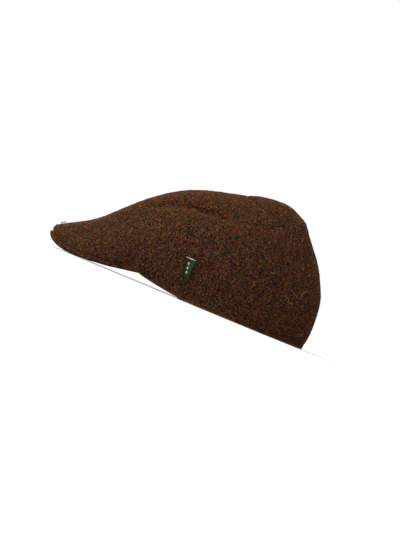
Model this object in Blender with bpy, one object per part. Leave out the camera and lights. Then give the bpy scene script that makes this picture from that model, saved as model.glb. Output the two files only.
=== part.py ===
"""Duckbill cap, built the way it is sewn: one panel over the peak and top, two sides, a back
panel, a covered stiff peak, a folded label tab and a small stud. Front is -Y, up is +Z."""
from collections import namedtuple
import bpy
import numpy as np

for thing in list(bpy.data.objects):
    bpy.data.objects.remove(thing, do_unlink=True)

# The whole cap, in metres.
HALF_LENGTH = 0.1359    # half of lip to back of crown
HALF_WIDTH = 0.0845     # half of the crown's widest place
HEIGHT = 0.1246         # table to the highest place
HEM_HALF_LENGTH = 0.1110
HEM_HALF_WIDTH = 0.0810
HEM_CENTRE = 0.0220     # how far the hem's oval lies behind the middle
CORE_UP = 0.0250        # height of the point that every panel is stretched around
ACROSS_FULL = 2.0       # roundness of the crown's cross-section, 2 is an ellipse

# Cloth, seams and folds.
CLOTH = 0.0022          # tweed with its backing
HEM_EDGE = 0.0027       # cloth turned under at hem and lip
SEAM_GAP = 0.0003
REST_GAP = 0.0006       # between pieces that lie on each other
FOLD_DEPTH = 0.0042     # deepest fold
FOLD_SPREAD = 0.0100    # how far a wide fold reaches to each side
FOLD_TURN = 0.0030      # over which a fold's upper slope turns into its lower slope
MEETING = 4             # folds that meet don't add up: the deeper one counts

# Peak: a stiff bill under the front of the top panel.
CORNER = 45.0           # bearing of its rear corners, degrees from the front
PEAK_END = 44.0         # bearing where the bill itself ends
LIP_PROUD = 0.0010      # lip in front of the panel's edge
LIP_ROUND = 0.0010      # rounding of the lip's lower edge, half as much above
SHELF = 0.0050          # ledge behind the lip on which the panel's edge lies
INNER_ARC = 0.0052      # inner edge of the bill inside the hem's oval
INNER_RISE = 0.0262     # arch of the inner edge over its ends
INNER_LOW = 0.0078      # height of its ends
ARCH_POWER = 1.25       # 1 is a parabola, more is flatter at the ends
BOARD = 0.0036          # thickness of the bill
BOARD_SAG = 0.0012      # hollow in the bill near the lip
LEDGE_MOST = 0.6        # most of the bill's depth that the ledge may take

# Label and stud.
LABEL_TOP = 0.0405      # height of the label's upper end
LABEL_TALL = 0.0188
LABEL_WIDE = 0.0098     # from the seam to the fold, upper end
LABEL_WIDE_LOW = 0.0056 # the same at the lower end
LABEL_STAND = 0.0034    # how far the tab stands off the cloth
LABEL_CLOTH = 0.0006
LABEL_GAP = 0.0008      # from the cloth to the middle of the strip at its root
STUD_RADIUS = 0.0031
STUD_TALL = 0.0019
STUD_SEAT = 0.0004      # gap under the stud
STUD_BEHIND = 0.0089    # middle of the stud behind the front of the lip

TWEED_COLOUR = (0.052, 0.026, 0.014)
LABEL_COLOUR = (0.060, 0.100, 0.050)
STEEL_COLOUR = (0.550, 0.550, 0.550)

# Fineness of the model.
COLUMNS = 40            # squares across the top panel
FRONT_ROWS = 13
REAR_ROWS = 13
SIDE_ROWS = 13
CREST_ROWS = 14         # squares along the middle, from the top seam to the back ridge
BACK_COLUMNS = 12       # squares along half of the back's hem
LABEL_LEVELS = 7
STUD_SIDES = 20
CURVE_STEPS = 600
CREASE_STEPS = 24       # straight pieces in which a fold's distance is measured
PROBE = 0.014           # step for surface slopes, as an angle
NEAREST = 0.3           # the crown's form is looked for from this share of its half width
FARTHEST = 1.7          # to this share of its half length
HALVINGS = 34
ON_EDGE = 0.00002       # how near a point counts as on the lower edge
SHARP_ANGLE = 0.9       # edges sharper than this, in radians, are shaded sharp
TINY = 1e-6


def table(columns, *rows):
    """A short table whose columns are read by name."""
    Columns = namedtuple("Columns", columns)
    return Columns(*np.array(rows, float).T)


# Crown's upper outline from the side, front to back: shares of half length and height.
CENTRE_LINE = table(
    "back up",
    (-0.9935, 0.120), (-0.992, 0.142), (-0.978, 0.163), (-0.957, 0.183), (-0.894, 0.222),
    (-0.831, 0.259), (-0.770, 0.300), (-0.709, 0.346), (-0.654, 0.403), (-0.600, 0.464),
    (-0.491, 0.583), (-0.376, 0.687), (-0.256, 0.779), (-0.127, 0.846), (0.010, 0.892),
    (0.081, 0.909), (0.150, 0.930), (0.219, 0.954), (0.286, 0.977), (0.358, 0.993),
    (0.433, 1.000), (0.511, 0.996), (0.556, 0.981), (0.606, 0.953), (0.661, 0.916),
    (0.719, 0.841), (0.780, 0.767), (0.837, 0.692), (0.884, 0.612), (0.926, 0.530),
    (0.950, 0.480), (0.977, 0.400), (0.989, 0.300), (1.000, 0.165))

# Widest line of the crown seen from above: bearing from the front, how far it stands out
# from the lower edge (share of half width), and its height (share of height).
GIRTH = table(
    "bearing out up",
    (0, 0.0, 0.0), (33, 0.0, 0.0), (37.4, 0.004, 0.075), (42, 0.040, 0.155), (48.3, 0.095, 0.235),
    (57.2, 0.068, 0.300), (68.7, 0.060, 0.345), (82, 0.050, 0.370), (98.7, 0.052, 0.378),
    (115, 0.058, 0.365), (128, 0.058, 0.340), (141, 0.052, 0.300), (151.5, 0.046, 0.255),
    (161, 0.041, 0.215), (170, 0.036, 0.185), (180, 0.034, 0.165))

# Lip of the peak by bearing: reach from the hem's centre (share of half length), lower edge
# and upper edge (shares of height).
LIP = table(
    "bearing reach low high",
    (0, 1.1611, 0.086, 0.121), (6.56, 1.1597, 0.072, 0.110), (12.9, 1.1552, 0.047, 0.090),
    (18.1, 1.1376, 0.022, 0.070), (22.7, 1.1052, 0.006, 0.057), (26.9, 1.0559, 0.0, 0.049),
    (31.1, 0.9948, 0.004, 0.048), (34.3, 0.9264, 0.014, 0.057), (37.8, 0.8469, 0.027, 0.069),
    (41.3, 0.7638, 0.045, 0.074), (CORNER, 0.6810, 0.064, 0.074))

# Height of the hem behind the peak's corners, by bearing (share of height).
HEM_LIFT = table(
    "bearing up",
    (CORNER, 0.074), (49, 0.057), (55.2, 0.043), (62, 0.030), (69, 0.019), (76, 0.009), (84, 0.002),
    (92, 0.0), (180, 0.0))

# Roundness of the cross-section upward, front to back (share of half length).
UP_FULL = table(
    "back full", (-1.0, 1.45), (-0.75, 1.30), (-0.5, 1.55), (-0.2, 1.85), (0.3, 1.95), (1.0, 2.0))

# Seams and folds on the left half: where they run (shares of half width, half length and
# height) and how deep the cloth dips there (share of the deepest fold, a ridge is negative).
FRONT_FOLD = table(
    "side back up dip",
    (0.0, -0.560, 0.500, 0.0), (0.17, -0.545, 0.515, 0.0), (0.32, -0.478, 0.550, 0.12),
    (0.412, -0.381, 0.601, 0.70), (0.51, -0.309, 0.640, 0.95), (0.568, -0.226, 0.680, 1.0),
    (0.668, -0.100, 0.705, 0.95))
CROWN_SEAM = table(
    "side back up dip",
    (0.668, -0.100, 0.705, 0.95), (0.731, 0.032, 0.720, 0.86), (0.777, 0.199, 0.735, 0.52),
    (0.773, 0.300, 0.755, 0.36), (0.738, 0.384, 0.779, 0.30), (0.672, 0.467, 0.809, 0.34),
    (0.590, 0.535, 0.845, 0.48))
TOP_SEAM = table(
    "side back up dip",
    (0.0, 0.199, 0.950, 0.12), (0.24, 0.222, 0.935, 0.14), (0.466, 0.301, 0.909, 0.21),
    (0.535, 0.372, 0.890, 0.24), (0.556, 0.440, 0.880, 0.29), (0.562, 0.495, 0.868, 0.38),
    (0.590, 0.535, 0.845, 0.48))
FRONT_SEAM = table(
    "side back up dip",
    (0.668, -0.100, 0.705, 0.40), (0.925, -0.062, 0.510, 0.35), (0.985, -0.032, 0.340, 0.30),
    (0.985, -0.012, 0.222, 0.25), (0.975, 0.018, 0.130, 0.15), (0.950, 0.070, 0.0, 0.0))
BACK_SEAM = table(
    "side back up dip",
    (0.590, 0.535, 0.845, 0.48), (0.655, 0.575, 0.765, 0.38), (0.729, 0.594, 0.678, 0.30),
    (0.788, 0.613, 0.578, 0.24), (0.824, 0.634, 0.460, 0.21), (0.813, 0.665, 0.250, 0.16),
    (0.752, 0.680, 0.0, 0.0))
BACK_FOLD = table(
    "side back up dip",
    (0.585, 0.560, 0.830, -0.10), (0.598, 0.608, 0.778, -0.32), (0.607, 0.662, 0.718, -0.38),
    (0.584, 0.700, 0.679, -0.22), (0.570, 0.735, 0.630, 0.0))
BACK_DENT = table(
    "side back up dip",
    (0.52, 0.640, 0.82, 0.0), (0.52, 0.720, 0.735, 0.48), (0.52, 0.775, 0.645, 0.43),
    (0.52, 0.82, 0.56, 0.0))
BACK_RIDGE = table(
    "side back up dip",
    (0.0, 0.668, 0.905, -0.24), (0.22, 0.660, 0.900, -0.21), (0.42, 0.630, 0.880, -0.10),
    (0.54, 0.575, 0.858, 0.0), (0.590, 0.535, 0.845, 0.0))
SIDE_SHELF = table(
    "side back up dip",
    (0.66, -0.36, 0.50, 0.0), (0.80, -0.20, 0.56, -0.38), (0.87, 0.0, 0.60, -0.52),
    (0.90, 0.18, 0.62, -0.43), (0.88, 0.34, 0.62, 0.0))

# Middle of the back panel: from the top seam over the crest to the ridge, then to the hem.
CREST = table("back up", (0.199, 0.950), (0.358, 0.993), (0.511, 0.996), (0.668, 0.905))
SPINE = table(
    "back up",
    (0.668, 0.905), (0.780, 0.767), (0.884, 0.612), (0.960, 0.455), (0.989, 0.300), (1.000, 0.165),
    (0.980, 0.0))

# The label's middle line from the seam out to its fold and back: shares of its width and stand.
LABEL_LOOP = table(
    "along out",
    (0.02, 0.0), (0.10, 0.45), (0.28, 0.78), (0.55, 0.93), (0.85, 1.0), (0.97, 0.93), (1.0, 0.80),
    (0.96, 0.67), (0.84, 0.60), (0.55, 0.55), (0.36, 0.38), (0.27, 0.05))

# The stud's rim and dome: shares of its radius and height.
STUD_DOME = table("out up", (0.94, 0.0), (1.0, 0.14), (0.97, 0.36), (0.80, 0.70), (0.45, 0.94))

# How wide each dip or ridge spreads above and below its line: shares of a wide fold's spread.
Crease = namedtuple("Crease", "line above below")
CREASES = (
    Crease(FRONT_FOLD, 0.60, 0.90),
    Crease(CROWN_SEAM, 0.65, 0.85),
    Crease(TOP_SEAM, 0.40, 0.40),
    Crease(FRONT_SEAM, 0.45, 0.45),
    Crease(BACK_SEAM, 0.45, 0.45),
    Crease(BACK_FOLD, 0.45, 0.45),
    Crease(BACK_DENT, 0.85, 0.85),
    Crease(BACK_RIDGE, 0.70, 0.70),
    Crease(SIDE_SHELF, 1.00, 1.20))

CORE = np.array((0.0, HEM_CENTRE, CORE_UP))
UNITS = np.array((HALF_WIDTH, HALF_LENGTH, HEIGHT))


def hermite(at, knots, values):
    """A smooth curve through the values, read at the places asked for."""
    values = np.asarray(values, float)
    steps = np.diff(knots)
    chords = np.diff(values, axis=0) / (steps[:, None] if values.ndim > 1 else steps)
    slopes = np.concatenate((chords[:1], (chords[1:] + chords[:-1]) / 2, chords[-1:]))
    cell = np.clip(np.searchsorted(knots, at, side="right") - 1, 0, len(steps) - 1)
    width = steps[cell]
    share = (at - knots[cell]) / width
    if values.ndim > 1:
        width, share = width[:, None], share[:, None]
    rest = 1 - share
    blend = share * share * (3 - 2 * share)
    ends = values[cell] * (1 - blend) + values[cell + 1] * blend
    return ends + width * share * rest * (slopes[cell] * rest - slopes[cell + 1] * share)


def thread(points, count):
    """Evenly spaced places along a smooth curve through the points."""
    points = np.asarray(points, float)
    knots = np.r_[0, np.cumsum(np.linalg.norm(np.diff(points, axis=0), axis=1))]
    fine = hermite(np.linspace(0, knots[-1], CURVE_STEPS), knots, points)
    run = np.r_[0, np.cumsum(np.linalg.norm(np.diff(fine, axis=0), axis=1))]
    places = np.linspace(0, run[-1], count)
    return np.stack([np.interp(places, run, fine[:, k]) for k in range(points.shape[1])], axis=1)


def hem_reach(bearing):
    """Plan distance from the hem's centre to its oval."""
    turn = np.radians(bearing)
    return HEM_HALF_LENGTH * HEM_HALF_WIDTH / np.hypot(
        HEM_HALF_WIDTH * np.cos(turn), HEM_HALF_LENGTH * np.sin(turn))


def lip_reach(bearing):
    return hermite(bearing, LIP.bearing, LIP.reach) * HALF_LENGTH


def lip_height(bearing, column):
    return np.maximum(hermite(bearing, LIP.bearing, column), 0) * HEIGHT


def edge_reach(bearing):
    """Plan distance to the lower edge of the cloth panels: peak's rim, then hem."""
    hem = hem_reach(bearing)
    front = lip_reach(np.minimum(bearing, CORNER)) - LIP_PROUD
    return np.where(bearing < CORNER, np.maximum(front, hem), hem)


def edge_height(bearing):
    front = lip_height(np.minimum(bearing, CORNER), LIP.high)
    back = np.interp(bearing, HEM_LIFT.bearing, HEM_LIFT.up) * HEIGHT
    return np.where(bearing < CORNER, front, back)


def plan_point(bearing, reach, up):
    turn = np.radians(bearing)
    return np.stack((reach * np.sin(turn), HEM_CENTRE - reach * np.cos(turn), up), axis=-1)


TURN = np.linspace(0, 180, CURVE_STEPS)
EDGE_OUT = edge_reach(TURN)
EDGE_UP = edge_height(TURN)
GIRTH_OUT = EDGE_OUT + np.maximum(hermite(TURN, GIRTH.bearing, GIRTH.out), 0) * HALF_WIDTH
GIRTH_UP = np.maximum(hermite(TURN, GIRTH.bearing, GIRTH.up) * HEIGHT, EDGE_UP)
GIRTH_LINE = plan_point(TURN, GIRTH_OUT, GIRTH_UP)
TOP_ROWS = np.stack((CENTRE_LINE.back * HALF_LENGTH, CENTRE_LINE.up * HEIGHT), axis=1)
TOP_LINE = thread(TOP_ROWS, CURVE_STEPS)


def outside(points):
    """Above zero outside the crown's smooth form and below zero inside it."""
    side, back, up = np.abs(points[:, 0]), points[:, 1], points[:, 2]
    half = np.interp(back, GIRTH_LINE[:, 1], GIRTH_LINE[:, 0], left=TINY, right=TINY)
    middle = np.interp(back, GIRTH_LINE[:, 1], GIRTH_UP)
    top = np.interp(back, TOP_LINE[:, 0], TOP_LINE[:, 1], left=0, right=0)
    full = np.interp(back / HALF_LENGTH, UP_FULL.back, UP_FULL.full)
    rise = np.maximum(up - middle, 0) / np.maximum(top - middle, TINY)
    above = (side / np.maximum(half, TINY)) ** ACROSS_FULL + rise ** full - 1
    bearing = np.degrees(np.arctan2(side, HEM_CENTRE - back))
    low = np.interp(bearing, TURN, EDGE_UP)
    high = np.interp(bearing, TURN, GIRTH_UP)
    climb = np.clip((up - low) / np.maximum(high - low, TINY), 0, 1)
    edge = np.interp(bearing, TURN, EDGE_OUT)
    girth = np.interp(bearing, TURN, GIRTH_OUT)
    below = np.hypot(side, back - HEM_CENTRE) / (edge + (girth - edge) * (1 - (1 - climb) ** 2)) - 1
    return np.where(up >= middle, above, below)


def reach_along(ways):
    """Distance from the core to the smooth form along each way."""
    near = np.full(len(ways), HALF_WIDTH * NEAREST)
    far = np.full(len(ways), HALF_LENGTH * FARTHEST)
    for _ in range(HALVINGS):
        middle = (near + far) / 2
        out = outside(CORE + ways * middle[:, None]) > 0
        far = np.where(out, middle, far)
        near = np.where(out, near, middle)
    return (near + far) / 2


def unit(vectors):
    return vectors / np.maximum(np.linalg.norm(vectors, axis=-1), TINY ** 2)[..., None]


def on_form(points):
    """Move points along their line from the core onto the smooth form."""
    ways = unit(points - CORE)
    return CORE + ways * reach_along(ways)[:, None]


def line_of(rows, count):
    """Evenly spaced places along a seam, and its dip there in metres."""
    points = np.stack((rows.side, rows.back, rows.up), axis=1) * UNITS
    line = thread(np.column_stack((points, rows.dip * FOLD_DEPTH)), count)
    return on_form(line[:, :3]), line[:, 3]


CREASE_LINES = [
    (*line_of(crease.line, CREASE_STEPS), crease.above * FOLD_SPREAD, crease.below * FOLD_SPREAD)
    for crease in CREASES]


def dip(points):
    """Depth of all the creases at points of the smooth form."""
    folded = np.column_stack((np.abs(points[:, 0]), points[:, 1:]))
    dips, ridges = np.zeros(len(points)), np.zeros(len(points))
    pick = np.arange(len(points))
    for line, depth, above, below in CREASE_LINES:
        step = np.diff(line, axis=0)
        share = ((folded[:, None] - line[:-1]) * step).sum(axis=2) / (step ** 2).sum(axis=1)
        share = np.clip(share, 0, 1)
        gap = folded[:, None] - line[:-1] - share[..., None] * step
        away = np.linalg.norm(gap, axis=2)
        nearest = away.argmin(axis=1)
        here = depth[nearest] + share[pick, nearest] * np.diff(depth)[nearest]
        side = np.clip(gap[pick, nearest, 2] / FOLD_TURN, -1, 1) / 2 + 0.5
        spread = below + (above - below) * side
        here = here * np.exp(-(away[pick, nearest] / spread) ** 2)
        dips += np.maximum(here, 0) ** MEETING
        ridges += np.maximum(-here, 0) ** MEETING
    return dips ** (1 / MEETING) - ridges ** (1 / MEETING)


def on_cloth(points):
    """Points on the outer face of the cloth, creases included."""
    smooth = on_form(points)
    return smooth - unit(smooth - CORE) * dip(smooth)[:, None]


def facing(points):
    """Outward direction of the cloth at the points."""
    ways = unit(points - CORE)
    helper = np.where(np.abs(ways[:, 2:]) < 0.9, (0.0, 0.0, 1.0), (0.0, 1.0, 0.0))
    first = unit(np.cross(ways, helper))
    second = np.cross(ways, first)
    slope_a = on_cloth(CORE + ways + first * PROBE) - on_cloth(CORE + ways - first * PROBE)
    slope_b = on_cloth(CORE + ways + second * PROBE) - on_cloth(CORE + ways - second * PROBE)
    out = unit(np.cross(slope_a, slope_b))
    return out * np.sign((out * ways).sum(axis=1))[:, None]


def mirror(line):
    return line * np.array((-1, 1, 1))


def patch(bottom, top, left, right):
    """A grid stretched between four border lines (Coons)."""
    rows, columns = len(left), len(bottom)
    u = np.linspace(0, 1, columns)[None, :, None]
    v = np.linspace(0, 1, rows)[:, None, None]
    across = left[:, None] * (1 - u) + right[:, None] * u
    along = bottom[None] * (1 - v) + top[None] * v
    corners = (bottom[0] * (1 - u) * (1 - v) + bottom[-1] * u * (1 - v)
               + top[0] * (1 - u) * v + top[-1] * u * v)
    grid = across + along - corners
    inner = on_form(grid[1:-1, 1:-1].reshape(-1, 3)).reshape(rows - 2, columns - 2, 3)
    grid[1:-1, 1:-1] = inner
    return grid


def split_three(down, round_edge, along):
    """Three grids for a three-sided piece: two sides from one corner, then the third side."""
    from_top = (len(down) + len(along) - len(round_edge) - 1) // 2
    from_edge = (len(round_edge) + len(along) - len(down) - 1) // 2
    down_a, down_b = down[:from_top + 1], down[from_top:]
    edge_a, edge_b = round_edge[:from_edge + 1], round_edge[from_edge:]
    along_a, along_b = along[:from_edge + 1], along[from_edge:]
    middle = on_form(((down_a[-1] + edge_a[-1] + along_a[-1]) / 3)[None])[0]

    def spoke(start, count):
        return on_form(start + (middle - start) * np.linspace(0, 1, count)[:, None])

    spoke_down = spoke(down_a[-1], len(edge_a))
    spoke_edge = spoke(edge_a[-1], len(down_a))
    spoke_along = spoke(along_a[-1], len(down_b))
    return [patch(edge_a, spoke_down, down_a, spoke_edge),
            patch(along_a, spoke_down, down_b[::-1], spoke_along),
            patch(along_b[::-1], spoke_edge, edge_b[::-1], spoke_along)]


def add_object(name, points, faces, colour, roughness=0.9):
    """One closed solid with its own material."""
    finish = bpy.data.materials.new(name)
    finish.use_nodes = True
    shader = finish.node_tree.nodes["Principled BSDF"]
    shader.inputs["Base Color"].default_value = (*colour, 1)
    shader.inputs["Roughness"].default_value = roughness
    mesh = bpy.data.meshes.new(name)
    corners = [tuple(int(i) for i in face) for face in faces]
    mesh.from_pydata([tuple(point) for point in points], [], corners)
    mesh.shade_smooth()
    mesh.set_sharp_from_angle(angle=SHARP_ANGLE)
    mesh.materials.append(finish)
    made = bpy.data.objects.new(name, mesh)
    bpy.context.scene.collection.objects.link(made)


def normals(points, quads):
    """Which way each quad faces, longer for a larger quad."""
    a, b, c, d = np.array(quads).T
    return np.cross(points[c] - points[a], points[d] - points[b])


def weld(grids):
    """Join grids that share a border: points, quads, and which points lie on the lower edge."""
    spots = np.concatenate([grid.reshape(-1, 3) for grid in grids])
    _, first, keys = np.unique(np.round(spots, 6), axis=0, return_index=True, return_inverse=True)
    points, keys = spots[first], keys.reshape(-1)
    quads, start = [], 0
    for grid in grids:
        rows, columns = grid.shape[:2]
        spot = keys[start:start + rows * columns].reshape(rows, columns)
        start += rows * columns
        corners = (spot[:-1, :-1], spot[:-1, 1:], spot[1:, 1:], spot[1:, :-1])
        ring = np.stack(corners, axis=-1).reshape(-1, 4)
        if (normals(points, ring) * (points[ring[:, 0]] - CORE)).sum() < 0:
            ring = ring[:, ::-1]
        quads += [tuple(int(k) for k in quad) for quad in ring]
    bearing = np.degrees(np.arctan2(np.abs(points[:, 0]), HEM_CENTRE - points[:, 1]))
    reach = np.hypot(points[:, 0], points[:, 1] - HEM_CENTRE)
    on_edge = (np.abs(points[:, 2] - edge_height(bearing)) < ON_EDGE) & (
        np.abs(reach - edge_reach(bearing)) < ON_EDGE)
    return points, quads, set(np.flatnonzero(on_edge).tolist())


def border(quads):
    """Directed edges that only one quad uses."""
    edges = {(a, b) for quad in quads for a, b in zip(quad, quad[1:] + quad[:1])}
    return [(a, b) for a, b in edges if (b, a) not in edges]


def cloth_panel(name, grids):
    """A sewn panel: outer face, inner face one cloth thickness in, and the cut edges."""
    points, quads, free = weld(grids)
    loose = sorted(free)
    outer = on_cloth(points)
    outer[loose] = points[loose]
    out = facing(outer)
    edges = sorted(border(quads))
    pulls = {}
    for a, b in edges:
        if a in free and b in free:
            continue
        along = outer[b] - outer[a]
        inward = unit(np.cross(out[a] + out[b], along))
        pulls.setdefault(a, []).append(inward)
        pulls.setdefault(b, []).append(inward)
    shifted = outer.copy()
    for spot, ways in pulls.items():
        if spot in free:
            level = ways[0] * np.array((1, 1, 0))
            pull = level / (level @ ways[0])
        elif len(ways) == 2:
            pull = (ways[0] + ways[1]) / (1 + ways[0] @ ways[1])
        else:
            pull = ways[0]
        shifted[spot] += pull * SEAM_GAP / 2
    inner = shifted - out * CLOTH
    for spot in free:
        level = unit(out[spot] * np.array((1, 1, 0)))
        inner[spot] = shifted[spot] - level * HEM_EDGE
        inner[spot, 2] = shifted[spot, 2]
    count = len(points)
    faces = list(quads)
    faces += [tuple(i + count for i in quad[::-1]) for quad in quads]
    faces += [(b, a, a + count, b + count) for a, b in edges]
    add_object(name, np.concatenate((shifted, inner)), faces, TWEED_COLOUR)


def edge_line(turn):
    return plan_point(turn, edge_reach(turn), edge_height(turn))


def edge_bearings(start, end, count):
    """Bearings that divide the panels' lower edge into even lengths."""
    turn = np.linspace(start, end, CURVE_STEPS)
    run = np.r_[0, np.cumsum(np.linalg.norm(np.diff(edge_line(turn), axis=0), axis=1))]
    return np.interp(np.linspace(0, run[-1], count), run, turn)


def both_sides(line):
    """A line from the right side over the middle to the left side."""
    return np.concatenate((mirror(line[::-1]), line[1:]))


def seam_to_hem(rows, count):
    """A seam that ends on the hem, and the bearing of its foot."""
    line = line_of(rows, count)[0]
    foot = np.degrees(np.arctan2(line[-1, 0], HEM_CENTRE - line[-1, 1]))
    line[-1] = edge_line(foot)
    return line, foot


def middle_line(rows, start, end, count):
    """Evenly spaced places on the centre line between two points."""
    places = np.column_stack((0 * rows.back, rows.back * HALF_LENGTH, rows.up * HEIGHT))
    line = on_form(thread(places, count))
    line[0], line[-1] = start, end
    return line


# The seams that the cloth panels share.
HALF_COLUMNS = COLUMNS // 2
front_fold = line_of(FRONT_FOLD, HALF_COLUMNS + 1)[0]
crown_seam = line_of(CROWN_SEAM, REAR_ROWS + 1)[0]
top_seam = line_of(TOP_SEAM, HALF_COLUMNS + 1)[0]
front_seam, foot_front = seam_to_hem(FRONT_SEAM, FRONT_ROWS + 1)
back_seam, foot_back = seam_to_hem(BACK_SEAM, SIDE_ROWS + 1)
ridge = line_of(BACK_RIDGE, BACK_COLUMNS + 1)[0]
ridge[-1] = back_seam[0]

# Top panel: from the peak's rim over a fold to the seam across the crown.
rim_turns = edge_bearings(0, foot_front, HALF_COLUMNS + 1)
rim_turns[np.abs(rim_turns - CORNER).argmin()] = CORNER
rim = both_sides(edge_line(rim_turns))
fold_line = both_sides(front_fold)
front_patch = patch(rim, fold_line, mirror(front_seam[::-1]), front_seam[::-1])
rear_patch = patch(fold_line, both_sides(top_seam), mirror(crown_seam), crown_seam)
cloth_panel("top_panel", [front_patch, rear_patch])

# Side panels: from the hem up to the crown seam.
side_hem = edge_line(edge_bearings(foot_front, foot_back, REAR_ROWS + 1))
side_patch = patch(side_hem, crown_seam, front_seam[::-1], back_seam[::-1])
cloth_panel("side_panel_left", [side_patch])
cloth_panel("side_panel_right", [mirror(side_patch)])

# Back panel: from the seam across the crown over the back ridge down to the hem.
back_hem = edge_line(edge_bearings(180, foot_back, BACK_COLUMNS + 1))
crest = middle_line(CREST, top_seam[0], ridge[0], CREST_ROWS + 1)
spine = middle_line(SPINE, ridge[0], back_hem[0], SIDE_ROWS + 1)
back_half = split_three(crest, top_seam, ridge)
back_half.append(patch(back_hem, ridge, spine[::-1], back_seam[::-1]))
cloth_panel("back_panel", back_half + [mirror(grid) for grid in back_half])


def bill():
    """The peak's bill: a ring of points at each bearing, joined into one closed solid."""
    half = np.append(rim_turns[rim_turns < PEAK_END - 1], PEAK_END)
    bearing = np.abs(np.concatenate((-half[:0:-1], half)))
    side = np.concatenate((-np.ones(len(half) - 1), np.ones(len(half))))
    lip = np.maximum(lip_reach(bearing), hem_reach(bearing) - LIP_PROUD)
    low = lip_height(bearing, LIP.low)
    high = lip_height(bearing, LIP.high) - REST_GAP
    arc = hem_reach(bearing) - INNER_ARC
    arch = 1 - (bearing / PEAK_END) ** 2
    arc_low = INNER_LOW + INNER_RISE * arch ** ARCH_POWER
    arc_high = arc_low + np.minimum(BOARD, high - low)
    slant = np.hypot(1, np.gradient(lip, np.radians(bearing) * side + TINY) / lip)

    def across(inset, share, at_lip, at_arc, lower=0.0):
        """One place of the ring: a share of the way from the ledge to the inner arc."""
        ledge = np.minimum(inset * slant / (lip - arc), LEDGE_MOST)
        share = ledge * (1 - share) + share
        up = at_lip + (at_arc - at_lip) * share - lower
        line = plan_point(bearing, lip + (arc - lip) * share, up)
        return line * np.column_stack((side, np.ones((len(side), 2))))

    middle, sag = (low + high) / 2, BOARD_SAG * arch
    ring = [
        across(LIP_ROUND, 0, low, low), across(0, 0, middle, middle),
        across(LIP_ROUND / 2, 0, high, high), across(SHELF, 0, high, high),
        across(SHELF, 1 / 3, high, arc_high, sag), across(SHELF, 2 / 3, high, arc_high),
        across(SHELF, 1, high, arc_high), across(SHELF, 1, low, arc_low),
        across(SHELF, 2 / 3, low, arc_low), across(SHELF, 1 / 3, low, arc_low, sag),
        across(SHELF, 0, low, arc_low)]
    around, stations = len(ring), len(bearing)
    points = np.stack(ring, axis=1).reshape(-1, 3)
    faces = [tuple(range(around)), tuple(range(len(points) - around, len(points)))[::-1]]
    for start in range(0, (stations - 1) * around, around):
        for k in range(around):
            a, b = start + k, start + (k + 1) % around
            faces.append((a, a + around, b + around, b))
    return points, faces


def strip(path, half_thick):
    """A folded strip: each row of the path is one level of its middle line."""
    side = unit(np.cross(np.gradient(path, axis=1), np.gradient(path, axis=0))) * half_thick
    levels, steps = path.shape[:2]
    count = levels * steps
    points = np.concatenate(((path + side).reshape(-1, 3), (path - side).reshape(-1, 3)))
    grid = np.arange(count).reshape(levels, steps)
    quads = [(grid[i, j], grid[i, j + 1], grid[i + 1, j + 1], grid[i + 1, j])
             for i in range(levels - 1) for j in range(steps - 1)]
    if (normals(points, quads) * side[:-1, :-1].reshape(-1, 3)).sum() < 0:
        quads = [quad[::-1] for quad in quads]
    faces = list(quads)
    faces += [tuple(i + count for i in quad[::-1]) for quad in quads]
    faces += [(b, a, a + count, b + count) for a, b in sorted(border(quads))]
    return points, faces


def label():
    """A woven strip folded double and caught in the left front seam."""
    seam = on_cloth(line_of(FRONT_SEAM, CURVE_STEPS)[0])[::-1]
    levels = np.linspace(LABEL_TOP, LABEL_TOP - LABEL_TALL, LABEL_LEVELS)
    root = np.stack([np.interp(levels, seam[:, 2], seam[:, k]) for k in range(3)], axis=1)
    wide = np.linspace(LABEL_WIDE, LABEL_WIDE_LOW, LABEL_LEVELS)
    path = []
    for place, out, width in zip(root, facing(root), wide):
        back = unit(np.array((0.0, 1.0, 0.0)) - out * out[1])
        along = LABEL_LOOP.along * width
        off = LABEL_LOOP.out * LABEL_STAND + LABEL_GAP
        path.append(place + along[:, None] * back + off[:, None] * out)
    return strip(np.array(path), LABEL_CLOTH / 2)


def stud():
    """A plain domed cap on the centre line behind the lip."""
    back = HEM_CENTRE - lip_reach(0.0) + STUD_BEHIND
    up = np.interp(back, TOP_LINE[:, 0], TOP_LINE[:, 1])
    spot = on_cloth(np.array([(0.0, back, up)]))
    out = facing(spot)[0]
    base = spot[0] + out * STUD_SEAT
    turn = np.linspace(0, 2 * np.pi, STUD_SIDES, endpoint=False)
    sideways = np.array((1.0, 0.0, 0.0))
    circle = np.cos(turn)[:, None] * sideways + np.sin(turn)[:, None] * np.cross(out, sideways)
    rings = [base + circle * share * STUD_RADIUS + out * rise * STUD_TALL
             for share, rise in zip(STUD_DOME.out, STUD_DOME.up)]
    points = np.concatenate((*rings, [base, base + out * STUD_TALL]))
    foot, crown = len(points) - 2, len(points) - 1
    faces = []
    for k in range(STUD_SIDES):
        after = (k + 1) % STUD_SIDES
        faces.append((foot, after, k))
        for low in range(0, foot - STUD_SIDES, STUD_SIDES):
            faces.append((low + k, low + after, low + STUD_SIDES + after, low + STUD_SIDES + k))
        faces.append((foot - STUD_SIDES + k, foot - STUD_SIDES + after, crown))
    return points, faces


add_object("peak", *bill(), TWEED_COLOUR)
add_object("label_tab", *label(), LABEL_COLOUR, roughness=0.8)
add_object("peak_stud", *stud(), STEEL_COLOUR, roughness=0.35)
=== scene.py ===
# %% [markdown]
# A duckbill cap sewn from heathered tweed, lying on a table by itself.
# The real cap is four shaped panels, a stiff peak under the front one, a woven tab in the side seam and a
# press stud at the tip. It could be drawn by eye, but the frame holds a plain measured solid for each of
# them, so each piece made below takes the place of its solid.
# Everything is in metres. The peak points along -Y, up is +Z, and the tab is on the +X side.

# %% Load the frame
import math
import random
import bmesh
import bpy
import numpy
from mathutils import Matrix, Vector, noise
from mathutils.bvhtree import BVHTree
from mathutils.kdtree import KDTree


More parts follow.
